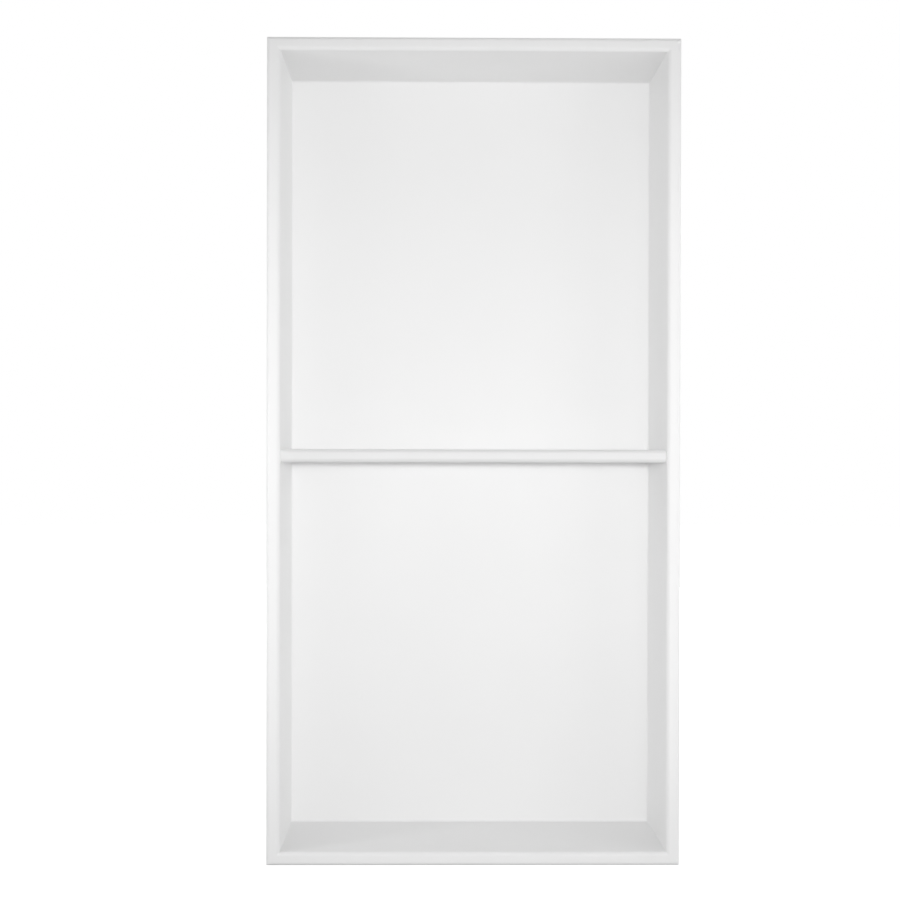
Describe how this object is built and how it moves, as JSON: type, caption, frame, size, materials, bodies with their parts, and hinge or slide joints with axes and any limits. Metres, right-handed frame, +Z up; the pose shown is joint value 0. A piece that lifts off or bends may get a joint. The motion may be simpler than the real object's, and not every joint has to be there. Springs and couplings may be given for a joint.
{
  "type": "shower niche insert",
  "caption": "Recessed wall niche of white powder-coated sheet steel: a tall open tray with a turned front rim that seats on the wall and a fixed shelf that parts it into compartments.",
  "frame": {"origin": "middle of the rim, in the plane of the lip's rear edge, which lies on the face of the wall", "axes": "+Y goes into the wall, so the open front faces -Y; +X is to the right seen from the front; +Z is up"},
  "size_m": [0.3048, 0.1016, 0.6096],
  "materials": {
    "white_powder_coat": "fine satin powder coat"
  },
  "bodies": {
    "root": {"niche_body": "white_powder_coat", "shelf": "white_powder_coat"}
  },
  "joints": []
}
